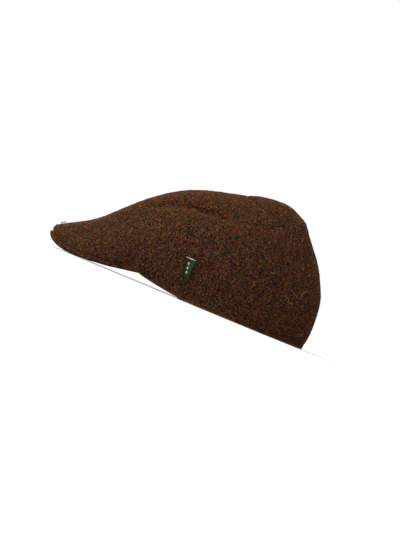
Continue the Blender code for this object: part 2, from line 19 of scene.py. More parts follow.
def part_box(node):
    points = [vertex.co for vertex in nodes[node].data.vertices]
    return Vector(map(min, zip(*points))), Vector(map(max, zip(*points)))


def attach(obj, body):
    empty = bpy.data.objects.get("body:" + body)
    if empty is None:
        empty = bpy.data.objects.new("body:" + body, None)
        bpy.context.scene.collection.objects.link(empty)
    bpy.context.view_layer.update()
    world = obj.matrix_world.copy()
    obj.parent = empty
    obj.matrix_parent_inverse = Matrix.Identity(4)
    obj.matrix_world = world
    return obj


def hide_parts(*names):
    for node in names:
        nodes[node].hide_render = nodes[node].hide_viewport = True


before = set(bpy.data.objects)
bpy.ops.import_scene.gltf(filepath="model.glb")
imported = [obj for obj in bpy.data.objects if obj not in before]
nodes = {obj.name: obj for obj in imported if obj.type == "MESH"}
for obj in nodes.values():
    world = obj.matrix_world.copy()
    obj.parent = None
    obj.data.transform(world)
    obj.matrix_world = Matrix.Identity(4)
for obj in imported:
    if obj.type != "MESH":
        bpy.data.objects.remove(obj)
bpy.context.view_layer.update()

MM = 0.001

# %% [markdown]
# The camera looks at the cap square from its left side, as a shop photograph does.
# In the photograph the cap leans back as it does when it is worn. On a table it lies flat on its hem, so
# the camera is rolled by that lean instead of tipping the cap. A long lens from far away keeps the near
# side from swelling.

# %% Camera
PIXEL = 0.97 * MM  # what one pixel of the photograph shows, by a usual hat size
FRAME_WIDE = 400
FRAME_TALL = 533
LENS = 250
SENSOR = 36
LEAN = math.radians(22.6)
CLIP_BEYOND = 40
LOOKED_AT = Vector((0.0, 11.4 * MM, 36.7 * MM))

image_right = Vector((0, math.cos(LEAN), math.sin(LEAN)))
image_up = Vector((0, -math.sin(LEAN), math.cos(LEAN)))
towards_camera = image_right.cross(image_up)
far = FRAME_TALL * PIXEL * LENS / SENSOR


def in_scene(name, data):
    """A new object made of the data, such as a mesh, a curve, a lamp or a camera."""
    thing = bpy.data.objects.new(name, data)
    bpy.context.scene.collection.objects.link(thing)
    return thing


camera = in_scene("camera", bpy.data.cameras.new("camera"))
camera.data.lens = LENS
camera.data.sensor_width = SENSOR
camera.data.clip_end = CLIP_BEYOND
turn = Matrix((image_right, image_up, towards_camera)).transposed()
camera.matrix_world = Matrix.Translation(LOOKED_AT + towards_camera * far) @ turn.to_4x4()
bpy.context.scene.camera = camera
bpy.context.scene.view_settings.view_transform = "Standard"
print("camera stands", round(far, 2), "m away")

# %% [markdown]
# Each finish below is a few nodes joined by links. One small function adds a node, sets it and links it,
# whatever its kind, and one lays the stops of a colour ramp, so a material reads as a short list.
# Colours are the hex values of a picture editor, which one function turns to Blender's linear light.

# %% Colour and node helpers
def colour(hex_value):
    parts = [int(hex_value[i:i + 2], 16) / 255 for i in (1, 3, 5)]
    linear = [p / 12.92 if p <= 0.04045 else ((p + 0.055) / 1.055) ** 2.4 for p in parts]
    return (*linear, 1.0)


def put(tree, kind, inputs=None, **settings):
    """Adds a node. An input is a value, another node's output, or another node for its first output."""
    node = tree.nodes.new(kind)
    for name, value in settings.items():
        setattr(node, name, value)
    for socket, value in (inputs or {}).items():
        if isinstance(value, bpy.types.Node):
            value = value.outputs[0]
        if isinstance(value, bpy.types.NodeSocket):
            tree.links.new(value, node.inputs[socket])
        else:
            node.inputs[socket].default_value = value
    return node


def stops(ramp_node, rows, interpolation="LINEAR"):
    """Lays a ramp's stops: at each place a hex colour, or a level of grey."""
    ramp = ramp_node.color_ramp
    ramp.interpolation = interpolation
    while len(ramp.elements) > 1:
        ramp.elements.remove(ramp.elements[-1])
    for i, (place, value) in enumerate(rows.items()):
        stop = ramp.elements.new(place) if i else ramp.elements[0]
        stop.position = place
        stop.color = colour(value) if isinstance(value, str) else (value, value, value, 1.0)
    return ramp_node


def new_material(name):
    material = bpy.data.materials.new(name)
    material.use_nodes = True
    material.node_tree.nodes.clear()
    return material, material.node_tree


print("middle grey in linear light:", round(colour("#808080")[0], 3))

# %% [markdown]
# A small thing for a shop is often photographed on a sheet of matt white acrylic, lit from below. It
# gives the eye a plain pale ground with a soft shadow. A lamp below would do it, but a little glow of the
# sheet itself does the same with less noise. One large softbox hangs above, in white surroundings.

# %% Light table
FLOOR_HALF = 12.0
TABLE_GLOW = 0.46

floor_mesh = bpy.data.meshes.new("floor")
corners = [(-FLOOR_HALF, -FLOOR_HALF, 0), (FLOOR_HALF, -FLOOR_HALF, 0),
           (FLOOR_HALF, FLOOR_HALF, 0), (-FLOOR_HALF, FLOOR_HALF, 0)]
floor_mesh.from_pydata(corners, [], [(0, 1, 2, 3)])
floor = in_scene("floor", floor_mesh)
acrylic, tree = new_material("light_table_acrylic")
shader = put(tree, "ShaderNodeBsdfPrincipled", {
    "Base Color": colour("#8c8c8b"), "Roughness": 0.9, "Specular IOR Level": 0.1,
    "Emission Color": colour("#ffffff"), "Emission Strength": TABLE_GLOW})
put(tree, "ShaderNodeOutputMaterial", {"Surface": shader})
floor_mesh.materials.append(acrylic)
print("light table", FLOOR_HALF * 2, "m wide")

# %% Softbox and surroundings
SOFTBOX_POWER = 5.2
SOFTBOX_WIDE = math.radians(70)
SOFTBOX_TO_LEFT = 0.2
SOFTBOX_TO_CAMERA = 0.34

world = bpy.data.worlds.new("studio")
world.use_nodes = True
surroundings = world.node_tree.nodes["Background"]
surroundings.inputs["Color"].default_value = colour("#ffffff")
surroundings.inputs["Strength"].default_value = 1.0
bpy.context.scene.world = world

softbox = bpy.data.lights.new("softbox", "SUN")
softbox.energy = SOFTBOX_POWER
softbox.angle = SOFTBOX_WIDE
lamp = in_scene("softbox", softbox)
from_there = (image_up - image_right * SOFTBOX_TO_LEFT + towards_camera * SOFTBOX_TO_CAMERA).normalized()
lamp.rotation_euler = from_there.to_track_quat("Z", "Y").to_euler()
print("the light comes from", [round(v, 2) for v in from_there])

# %% [markdown]
# Tweed is a thick cloth, spun from dyed fleece, woven, and then washed until it felts. Each yarn mixes
# many colours, so close up it is a brown ground with short streaks of rust, olive, maroon, smoke and
# near-black, whose ends run into each other like combed hair.
# The streaks could be an image. Here they are Voronoi cells, stretched along the yarns and combed by a
# noise that is fine across them. There is one layer for each set of yarns, and soft diagonal bands
# choose between them, as a twill weave does. Sizes are millimetres on the cloth's flat pattern.
# A wool fibre is 0.03 mm thick and a pixel of the photograph shows 0.97 mm. So the streaks are drawn as
# coarse as the photograph's flecks, 1.0 x 0.4 mm, and the twill's bands wider than in real cloth.

# %% Tweed: the wool and one set of yarns
# A colour begins at its number and ends at the next one, so a wide step is a common colour.
WOOL = {0.0: "#160f0d", 0.16: "#5c2b16", 0.29: "#09080a", 0.44: "#3f3d21", 0.55: "#4b1a13",
        0.65: "#4b301b", 0.74: "#292d3b", 0.83: "#0f0b0b", 0.93: "#7c6438", 0.97: "#9e4d1b"}
STREAK = (0.98, 0.4)  # mm along the yarn, mm across it
HAIR = (0.6, 8.0)  # hairs in a mm, along and across
COMBED = (2.6, 0.52)  # mm between the furthest that hairs pull a streak's sides, along and across


def yarn_layer(tree, mm, degrees, shift):
    """One set of yarns: its streaks of colour, its hairs and the height of its cells."""
    turned = put(tree, "ShaderNodeMapping", {
        "Vector": mm, "Rotation": (0.0, 0.0, math.radians(degrees)), "Location": (shift, -shift, 0.0)})
    hair_place = put(tree, "ShaderNodeMapping", {"Vector": turned, "Scale": (*HAIR, 1.0)})
    hair = put(tree, "ShaderNodeTexNoise", {"Vector": hair_place, "Scale": 1.0, "Detail": 2.0},
               noise_dimensions="2D")
    centred = put(tree, "ShaderNodeVectorMath", {0: hair.outputs["Color"], 1: (0.5, 0.5, 0.5)},
                  operation="SUBTRACT")
    combed = put(tree, "ShaderNodeVectorMath", {0: centred, 1: (*COMBED, 0.0), 2: turned},
                 operation="MULTIPLY_ADD")
    cell_place = put(tree, "ShaderNodeMapping",
                     {"Vector": combed, "Scale": (1 / STREAK[0], 1 / STREAK[1], 1.0)})
    cells = put(tree, "ShaderNodeTexVoronoi", {"Vector": cell_place, "Scale": 1.0}, voronoi_dimensions="2D")
    pick = put(tree, "ShaderNodeSeparateColor", {0: cells.outputs["Color"]})
    streaks = stops(put(tree, "ShaderNodeValToRGB", {0: pick}), WOOL, "CONSTANT")
    return streaks, hair, cells.outputs["Distance"]


print(len(WOOL), "colours of wool in streaks of", STREAK, "mm")

# %% Tweed: two sets of yarns, woven
PATTERN = "flat_pattern"
WARP = (47.0, 0.0)  # degrees on the pattern, and mm of shift so that the two sets differ
WEFT = (-41.0, 171.0)
TWILL = 2.2  # mm from one diagonal band to the next
DIAGONAL_BAND = 0.444  # how wide a diagonal band of a wave texture is at scale 1

tweed, tree = new_material("heathered_wool_tweed")
flat = put(tree, "ShaderNodeUVMap", uv_map=PATTERN)
mm = put(tree, "ShaderNodeVectorMath", {0: flat, "Scale": 1 / MM}, operation="SCALE")
warp, warp_hair, warp_cell = yarn_layer(tree, mm, *WARP)
weft, weft_hair, weft_cell = yarn_layer(tree, mm, *WEFT)
bands = put(tree, "ShaderNodeTexWave", {
    "Vector": mm, "Scale": DIAGONAL_BAND / TWILL, "Distortion": 5.0, "Detail": 2.0, "Detail Scale": 2.5
}, bands_direction="DIAGONAL")
over = stops(put(tree, "ShaderNodeValToRGB", {0: bands.outputs[1]}), {0.38: 0.0, 0.62: 1.0})
wool = put(tree, "ShaderNodeMix", {0: over, 6: warp, 7: weft}, data_type="RGBA")
hair = put(tree, "ShaderNodeMix", {0: over, 2: warp_hair, 3: weft_hair})
cell = put(tree, "ShaderNodeMix", {0: over, 2: warp_cell, 3: weft_cell})
print("woven with a twill band every", TWILL, "mm")

# %% [markdown]
# Wool is darker between its hairs, a felted cloth has faint lighter and darker patches a few millimetres
# wide, and the hem is worn to a pale brown that is also painted lighter, as its lit edge. Each of these is
# one ramp, multiplied or mixed over the last.

# %% Tweed: shade, wear and a painted lit hem edge
PATCHES = 0.11  # in a mm: patches about 9 mm wide
# the hem's brown is partly wear and partly a painted highlight of its lit edge
HEM_WORN_AND_LIT_BROWN = "#7d4620"

shade = stops(put(tree, "ShaderNodeValToRGB", {0: hair}), {0.3: 0.4, 0.5: 0.85, 0.7: 1.0})
haired = put(tree, "ShaderNodeMix", {0: 1.0, 6: wool.outputs[2], 7: shade}, data_type="RGBA",
             blend_type="MULTIPLY")
patchy = put(tree, "ShaderNodeTexNoise", {"Vector": mm, "Scale": PATCHES, "Detail": 4.0},
             noise_dimensions="2D")
depth = stops(put(tree, "ShaderNodeValToRGB", {0: patchy}), {0.3: 0.7, 0.7: 0.86})
shaded = put(tree, "ShaderNodeMix", {0: 1.0, 6: haired.outputs[2], 7: depth}, data_type="RGBA",
             blend_type="MULTIPLY")
from_hem = put(tree, "ShaderNodeAttribute", attribute_name="from_hem")
# over the last 2 mm at the hem: wear, and a painted highlight where the edge catches light
worn = stops(put(tree, "ShaderNodeValToRGB", {0: from_hem.outputs["Fac"]}),
             {0.0: 0.55, 0.05: 0.25, 0.11: 0.0})
hem_worn_and_painted_lit = put(tree, "ShaderNodeMix", {0: worn, 6: shaded.outputs[2], 7: colour(HEM_WORN_AND_LIT_BROWN)},
                data_type="RGBA")
print("patches", round(1 / PATCHES), "mm wide, and a worn hem")

# %% [markdown]
# Wool is matt all over, with no mirror-like part, and seen at a low angle the ends of its nap catch the
# light: that tells the eye what it is. A strong sheen would add a pale haze, so there is only a little,
# and a painted sheen makes the wool's colour up to 1.75 times lighter at the lowest angles.
# The relief of cells, hairs and bands is 0.35 mm deep, so a bump is enough for it.

# %% Tweed: painted sheen of the nap, and relief
PAINTED_SHEEN_FROM = 0.55
PAINTED_SHEEN_MOST = 1.75
RELIEF = 0.35 * MM
CELL_HEIGHT = -0.9  # share of the relief: the middle of a cell stands out
BAND_HEIGHT = 0.55

# painted sheen: the base colour grows up to 1.75 times lighter where the cloth is seen at a low angle
low_angle = put(tree, "ShaderNodeLayerWeight", {"Blend": 0.5})
painted_sheen_gain = put(tree, "ShaderNodeMapRange", {0: low_angle.outputs["Facing"], 1: PAINTED_SHEEN_FROM, 3: 1.0, 4: PAINTED_SHEEN_MOST},
          interpolation_type="SMOOTHSTEP")
painted_sheen_colour = put(tree, "ShaderNodeVectorMath", {0: hem_worn_and_painted_lit.outputs[2], "Scale": painted_sheen_gain}, operation="SCALE")
bumpy = put(tree, "ShaderNodeMath", {0: cell, 1: CELL_HEIGHT, 2: hair}, operation="MULTIPLY_ADD")
heights = put(tree, "ShaderNodeMath", {0: bands.outputs[1], 1: BAND_HEIGHT, 2: bumpy},
              operation="MULTIPLY_ADD")
bump = put(tree, "ShaderNodeBump", {"Strength": 0.8, "Distance": RELIEF, "Height": heights})
shader = put(tree, "ShaderNodeBsdfPrincipled", {
    "Base Color": painted_sheen_colour, "Roughness": 0.95, "IOR": 1.54, "Specular IOR Level": 0.0, "Normal": bump,
    "Sheen Weight": 0.02, "Sheen Roughness": 0.5, "Sheen Tint": colour("#c99a70")})
put(tree, "ShaderNodeOutputMaterial", {"Surface": shader})
print("tweed ready,", len(tree.nodes), "nodes")

# %% [markdown]
# The panels are the cap's four cut pieces of cloth. They could be modelled from nothing, but each starts
# from the outer side of its measured solid, so that it lies where it was measured.
# The solid's triangles are joined to quads, which a subdivision surface wants. A walk over the faces then
# finds the outer side: it goes on over gentle edges and stops where the cloth ends at a sharp one.

# %% Outer side: quads
PANELS = ["top_panel", "back_panel", "side_panel_left", "side_panel_right"]
WELD = 1e-6
MOST_BENT = math.radians(60)
MOST_SKEWED = math.radians(75)


def quads_of(node):
    mesh = bmesh.new()
    mesh.from_mesh(nodes[node].data)
    bmesh.ops.remove_doubles(mesh, verts=mesh.verts, dist=WELD)
    bmesh.ops.join_triangles(mesh, faces=mesh.faces[:], angle_face_threshold=MOST_BENT,
                             angle_shape_threshold=MOST_SKEWED)
    return mesh


solids = {panel: quads_of(panel) for panel in PANELS}
print("faces:", {panel: len(mesh.faces) for panel, mesh in solids.items()})

# %% Outer side: the walk
CROWN_MIDDLE = Vector((0.0, 0.022, 0.025))
SHARP_RIDGE = math.radians(50)
SHARP_HOLLOW = math.radians(-130)


def goes_on(edge):
    return len(edge.link_faces) == 2 and SHARP_HOLLOW < edge.calc_face_angle_signed() < SHARP_RIDGE


def reached_from(first, found):
    """The faces that a walk reaches without crossing a sharp edge."""
    group = set()
    walk = [first]
    found.add(first)
    while walk:
        face = walk.pop()
        group.add(face)
        for edge in filter(goes_on, face.edges):
            for other in edge.link_faces:
                if other not in found:
                    found.add(other)
                    walk.append(other)
    return group


def faces_out(group):
    return sum(f.normal.dot((f.calc_center_median() - CROWN_MIDDLE).normalized()) * f.calc_area()
               for f in group)


def outer_side(mesh):
    """The most outward group, with any group that it closes in, such as the steep wall of a fold."""
    found = set()
    groups = [reached_from(face, found) for face in mesh.faces if face not in found]
    *others, keep = sorted(groups, key=faces_out)
    for group in others:
        beyond = {f for face in group for edge in face.edges for f in edge.link_faces} - group
        if beyond <= keep:
            keep |= group
    bmesh.ops.delete(mesh, geom=[f for f in mesh.faces if f not in keep], context="FACES")
    return mesh


skins = {panel: outer_side(mesh) for panel, mesh in solids.items()}
for panel, skin in skins.items():
    print(panel, len(skin.faces), "faces,", round(sum(f.calc_area() for f in skin.faces) * 1e4), "cm2")

# %% [markdown]
# Two borders matter on a cap: the seams, where a panel is sewn to another piece, and the hem, which is
# free. They could be picked by hand. Here a corner is on a seam when the border of another piece passes
# within 1.2 mm of it, which works for every panel.

# %% Which piece is sewn to which
SEAM_REACH = 1.2 * MM


def tree_of(points):
    tree = KDTree(len(points))
    for place, point in enumerate(points):
        tree.insert(point, place)
    tree.balance()
    return tree


corner_rows = [(v.co.copy(), panel) for panel, skin in skins.items() for v in skin.verts if v.is_boundary]
corner_rows += [(v.co.copy(), "peak") for v in nodes["peak"].data.vertices]
corner_tree = tree_of([row[0] for row in corner_rows])


def sewn_to(point, panel):
    """The nearest other piece whose border passes here, or None at the free hem."""
    near = corner_tree.find_range(point, SEAM_REACH)
    others = [(gap, corner_rows[place][1]) for _, place, gap in near if corner_rows[place][1] != panel]
    return min(others)[1] if others else None


print(len(corner_rows), "corners at borders and on the peak")

# %% [markdown]
# Stitching pulls the cloth down, so a seam shows as a dip, as deep and wide as the photograph's shading
# says. Points are set every half millimetre along seams and hem, and each spot of cloth later asks how
# far the nearest is. Painted weights would have to be painted again after each change.

# %% Points along seams and hem
STEP = 0.5 * MM
SEAM_DIPS = {  # deep, wide
    "top back": (0.6 * MM, 1.4 * MM), "top side": (0.2 * MM, 1.7 * MM),
    "back side": (0.55 * MM, 1.6 * MM), "top peak": (1.6 * MM, 1.7 * MM)}
OTHER_DIP = (0.3 * MM, 1.7 * MM)


def border_edges(skin):
    return [edge for edge in skin.edges if edge.is_boundary]


def along(edge):
    a, b = (v.co for v in edge.verts)
    count = max(1, round((b - a).length / STEP))
    return [a.lerp(b, i / count) for i in range(count + 1)]


def dip_between(panel, other):
    kinds = {panel.split("_")[0], other.split("_")[0]}
    return next((dip for pair, dip in SEAM_DIPS.items() if set(pair.split()) == kinds), OTHER_DIP)


hem_points = []
seam_points = []
seam_dips = []
for panel, skin in skins.items():
    for edge in border_edges(skin):
        joined = [sewn_to(v.co, panel) for v in edge.verts]
        points = along(edge)
        if all(joined):
            seam_points.extend(points)
            seam_dips.extend([dip_between(panel, joined[0])] * len(points))
        else:
            hem_points.extend(points)
hem_tree = tree_of(hem_points)
seam_tree = tree_of(seam_points)
print(len(hem_points), "hem points,", len(seam_points), "seam points")

# %% [markdown]
# Under the edge of the crown the top panel was pressed into a hollow fold. The measured solid has it as
# a row of bent edges, so its points are found by angle and height rather than typed in.

# %% Points along the pressed fold
HOLLOW = math.radians(-22)
FOLD_ABOVE = 68 * MM


def lies_high(edge):
    return len(edge.link_faces) == 2 and all(v.co.z > FOLD_ABOVE for v in edge.verts)


fold_points = [point for skin in skins.values() for edge in skin.edges
               if lies_high(edge) and edge.calc_face_angle_signed() < HOLLOW for point in along(edge)]
fold_tree = tree_of(fold_points)
print(len(fold_points), "fold points")

# %% [markdown]
# Two sewn panels touch. The measured solids leave a fine gap between them, so each corner on a seam moves
# 0.3 mm across it, within the cloth. A panel could be scaled up instead, but its hem would move too.

# %% Close the seams
CLOSE_SEAM = 0.3 * MM


def across_border(v, panel):
    """The direction in the cloth that leads off the panel, over its seam."""
    direction = Vector()
    for edge in v.link_edges:
        if edge.is_boundary and sewn_to(edge.other_vert(v).co, panel):
            loop = edge.link_loops[0]
            direction += (loop.link_loop_next.vert.co - loop.vert.co).normalized()
    return direction.cross(v.normal).normalized()


for panel, skin in skins.items():
    skin.normal_update()
    moves = [(v, across_border(v, panel) * CLOSE_SEAM) for v in skin.verts
             if v.is_boundary and sewn_to(v.co, panel)]
    for v, move in moves:
        v.co += move
    print(panel, len(moves), "corners sewn")

# %% [markdown]
# Behind every seam is spare cloth, pressed open with an iron against the inside of its own panel. It
# could be part of the panel's surface, but a fold so tight would pinch the outside. So it is a strip of
# its own, cut here along the border and joined to its panel once both are thick.

# %% Cut the seam allowances
CLOTH = 2.2 * MM
ALLOWANCE = 7 * MM
SEAM_UNDER = 1.02  # cloth thicknesses below the outside, at the seam
CUT_UNDER = 1.06  # and at the cut edge


def seam_allowance(skin, panel):
    strip = bmesh.new()
    made = {}
    for edge in border_edges(skin):
        if not all(sewn_to(v.co, panel) for v in edge.verts):
            continue
        loop = edge.link_loops[0]
        for v in (loop.vert, loop.link_loop_next.vert):
            if v not in made:
                off = across_border(v, panel)
                seam_line = v.co - v.normal * CLOTH * SEAM_UNDER + off * CLOSE_SEAM
                cut_edge = v.co - v.normal * CLOTH * CUT_UNDER - off * ALLOWANCE
                made[v] = (strip.verts.new(seam_line), strip.verts.new(cut_edge))
        (a, b), (c, d) = made[loop.vert], made[loop.link_loop_next.vert]
        strip.faces.new((c, a, b, d))
    strip.normal_update()
    return strip


allowances = {panel: seam_allowance(skin, panel) for panel, skin in skins.items()}
print("strips:", {panel: len(strip.faces) for panel, strip in allowances.items()}, "faces")

# %% [markdown]
# A subdivision surface would shrink a panel's corners away from their neighbours and melt the pressed
# fold. More rows of faces would hold them, but crease values do it with none.

# %% Keep corners and folds
CORNER = math.radians(128)
FOLDED = math.radians(24)
FOLD_CRISP = 0.75


def is_folded(edge):
    return lies_high(edge) and abs(edge.calc_face_angle_signed()) > FOLDED


def crease(mesh, wanted, value):
    """Creases the edges for which wanted says True, and returns them."""
    crisp = mesh.edges.layers.float.new("crease_edge")
    edges = [edge for edge in mesh.edges if wanted(edge)]
    for edge in edges:
        edge[crisp] = value
    return edges


feet = []
for panel, skin in skins.items():
    keep = skin.verts.layers.float.new("crease_vert")
    for v in skin.verts:
        ends = [edge.other_vert(v).co - v.co for edge in v.link_edges if edge.is_boundary]
        if len(ends) == 2 and ends[0].angle(ends[1]) < CORNER:
            v[keep] = 1.0
            feet.append(v.co.copy())
    print(panel, len(crease(skin, is_folded, FOLD_CRISP)), "folded edges")
print(len(feet), "corners kept")

# %% [markdown]
# A maker cuts each panel flat, from a paper pattern, and the weave lies on it. Unwrapping gives it
# without drawing, at the real area of the cloth, before a thickness doubles that area. A ring of narrow
# faces along the border will keep the rounded edges tight.

# %% Lay out the flat patterns
RING = 0.6 * MM


def piece_of(mesh, name):
    shape = bpy.data.meshes.new(name)
    mesh.to_mesh(shape)
    mesh.free()
    return in_scene(name, shape)


def unwrap(piece):
    """Gives the piece a flat pattern in metres, and returns its width, length and area."""
    piece.data.uv_layers.new(name=PATTERN)
    bpy.ops.object.select_all(action="DESELECT")
    bpy.context.view_layer.objects.active = piece
    piece.select_set(True)
    bpy.ops.object.mode_set(mode="EDIT")
    bpy.ops.mesh.select_all(action="SELECT")
    bpy.ops.uv.unwrap(method="ANGLE_BASED", margin=0.0)
    bpy.ops.object.mode_set(mode="OBJECT")
    spots = piece.data.uv_layers[PATTERN].data
    flat_area = 0.0
    for face in piece.data.polygons:
        ring = [spots[i].uv for i in face.loop_indices]
        flat_area += abs(sum(a.x * b.y - b.x * a.y for a, b in zip(ring, ring[1:] + ring[:1]))) / 2
    real_area = sum(face.area for face in piece.data.polygons)
    factor = math.sqrt(real_area / flat_area)
    for spot in spots:
        spot.uv = spot.uv * factor
    us = [spot.uv.x for spot in spots]
    vs = [spot.uv.y for spot in spots]
    return max(us) - min(us), max(vs) - min(vs), real_area


pieces = {}
for panel, skin in skins.items():
    bmesh.ops.inset_region(skin, faces=skin.faces[:], thickness=RING, use_boundary=True,
                           use_even_offset=False)
    pieces[panel] = piece_of(skin, panel + "_cloth")
    unwrap(pieces[panel])

# %% [markdown]
# The cloth is 2.2 mm thick, grown inwards, and subdivision rounds its edges into the soft rolls of a
# seam and a hem. Two skins and a strip could be built, but the modifiers keep both sides alike.

# %% Give the panels their thickness
def finish_modifiers(piece):
    """Keeps what the modifiers make as the piece's own smooth mesh."""
    view = bpy.context.evaluated_depsgraph_get()
    done = bpy.data.meshes.new_from_object(piece.evaluated_get(view))
    piece.modifiers.clear()
    piece.data = done
    piece.data.polygons.foreach_set("use_smooth", [True] * len(done.polygons))


def add_wall(piece, thickness):
    wall = piece.modifiers.new("cloth thickness", "SOLIDIFY")
    wall.thickness = thickness
    wall.offset = -1


def add_rounding(piece, levels):
    smooth = piece.modifiers.new("soft edges", "SUBSURF")
    smooth.levels = levels
    smooth.render_levels = levels


def give(piece, material):
    piece.data.materials.clear()
    piece.data.materials.append(material)


def rim_rows(piece):
    """Places along the border, with the way that leads off the flat pattern there."""
    mesh = bmesh.new()
    mesh.from_mesh(piece.data)
    spots = mesh.loops.layers.uv[PATTERN]
    places = []
    ways = []
    for edge in border_edges(mesh):
        loop = edge.link_loops[0]
        a, b = loop[spots].uv, loop.link_loop_next[spots].uv
        middle = sum((other[spots].uv for other in loop.face.loops), Vector((0, 0))) / len(loop.face.loops)
        way = Vector((a.y - b.y, b.x - a.x)).normalized()
        if way.dot(middle - a) > 0:
            way.negate()
        points = along(edge)
        places.extend(points)
        ways.extend([way] * len(points))
    mesh.free()
    return tree_of(places), ways


rims = {}
thin = {}
for panel, piece in pieces.items():
    rims[panel] = rim_rows(piece)
    thin[panel] = BVHTree.FromPolygons([v.co for v in piece.data.vertices],
                                       [face.vertices for face in piece.data.polygons])
    add_wall(piece, CLOTH)
    add_rounding(piece, 2)
    finish_modifiers(piece)
    print(panel, len(piece.data.polygons), "faces")

# %% [markdown]
# A weave goes on round a turned edge, but the rim that the thickness adds has no width on the pattern,
# so the streaks would smear. Unwrapping the rim by itself would leave a break. So each point's place on
# the pattern moves off the border by its depth, less and less up to 6 mm away from the rim.

# %% Carry the pattern over the rim
RIM_BLEND = 6 * MM


def carry_over_rim(piece, rows, skin):
    tree, ways = rows
    mesh = piece.data
    shifts = []
    for v in mesh.vertices:
        depth = skin.find_nearest(v.co)[3]
        _, place, gap = tree.find(v.co)
        shifts.append(ways[place] * (depth * max(0.0, 1 - gap / RIM_BLEND)))
    spots = mesh.uv_layers[PATTERN].data
    for loop in mesh.loops:
        spots[loop.index].uv += shifts[loop.vertex_index]
    return max(shift.length for shift in shifts)


for panel, piece in pieces.items():
    longest = carry_over_rim(piece, rims[panel], thin[panel])
    give(piece, tweed)
    print(panel, "pattern moved by up to", round(longest / MM, 1), "mm")

# %% [markdown]
# The seam allowances get a thickness and join their panels, because they are the same cloth. They could
# be as thick as it, but steam has pressed them to half.

# %% Join the seam allowances
ALLOWANCE_THICK = 1.1 * MM

for panel, strip in allowances.items():
    spare = piece_of(strip, panel + "_spare")
    unwrap(spare)
    add_wall(spare, ALLOWANCE_THICK)
    finish_modifiers(spare)
    both = bmesh.new()
    both.from_mesh(pieces[panel].data)
    both.from_mesh(spare.data)
    both.to_mesh(pieces[panel].data)
    both.free()
    bpy.data.objects.remove(spare)
    print(panel, "with its seam allowances:", len(pieces[panel].data.polygons), "faces")

# %% [markdown]
# A worn cap keeps a few soft folds. A cloth simulation wouldn't put them where the photograph shows
# them. So each is a line seen from the side, along which the whole wall moves in or out, fading at both
# ends. The pressed fold is deepened in the same way, most of all at the crown's middle.

# %% Soft shape: folds
FOLD_DIP = 0.7 * MM
FOLD_WIDE = 2.1 * MM
FOLD_DEEPEST = 0 * MM  # where along the cap
FOLD_REACH = 16 * MM
CREASES = [  # start and end as y and z, height (out is positive) and width, all in mm
    ((-50.0, 74.5), (-8.0, 88.0), -0.5, 2.6),
    ((-19.0, 86.9), (23.0, 89.8), -2.6, 2.3),
    ((4.0, 89.0), (36.0, 92.5), -0.5, 2.6),
    ((-27.0, 86.5), (8.0, 93.0), 0.7, 3.2),
    ((83.6, 97.9), (95.7, 85.0), 0.55, 2.2),
    ((89.0, 96.5), (100.0, 84.0), -0.7, 4.5),
    ((38.0, 115.4), (72.5, 106.0), 0.75, 1.7),
]


def bell(gap, wide):
    return math.exp(-(gap / wide) ** 2)


def creased(spot):
    shift = 0.0
    side = Vector((spot.y, spot.z)) / MM
    for start, end, height, wide in CREASES:
        a = Vector(start)
        line = Vector(end) - a
        part = max(0.0, min(1.0, (side - a).dot(line) / line.length_squared))
        gap = (side - a - line * part).length
        fading = math.sqrt(4 * part * (1 - part))
        shift += fading * height * MM * bell(gap, wide)
    return shift


def folded(spot):
    """How far the whole wall moves here: in at the pressed fold, in or out at a crease."""
    crest, _, gap = fold_tree.find(spot)
    return creased(spot) - FOLD_DIP * bell(crest.y - FOLD_DEEPEST, FOLD_REACH) * bell(gap, FOLD_WIDE)


print(len(CREASES), "creases, the longest", max(math.dist(a, b) for a, b, _, _ in CREASES), "mm")

# %% [markdown]
# Thick wool is never quite smooth: one noise makes small lumps and one wide swells, both calm at the
# hem. On the outside the seams sink, and a shallow groove shows where the turned hem ends inside. Where
# the hem crosses a seam the cap rests on many layers, which are pressed a little flat on the table.
# It could be sculpted, but rules keep all panels alike. Each point also keeps its distance from the hem,
# for the hem's wear and painted lit edge in the material, and whether it is outside, for the hairs.

# %% Soft shape: the panels
LUMP = (0.16 * MM, 7 * MM)  # height, width
SWELL = (0.4 * MM, 31 * MM)
HEM_CALM = 6 * MM
HEM_ROLL = (5.5 * MM, 0.35 * MM, 1.3 * MM)  # above the hem, deep, wide
HEM_READ = 20 * MM
FOOT = (3.5 * MM, 0.9 * MM)  # reach, pressed by
SINKS_IF = 0.2  # how squarely a spot must face out to sink with its seam
HAIRY_IF = 0.1  # and to grow hairs
PEAK_SHARE = 0.45

foot_tree = tree_of([spot for spot in feet if spot.z < FOOT[0]])


def seam_dip(spot):
    _, place, gap = seam_tree.find(spot)
    deep, wide = seam_dips[place]
    return deep * bell(gap, wide)


def wander(point, rough):
    height, size = rough
    return height * noise.noise(point / size)


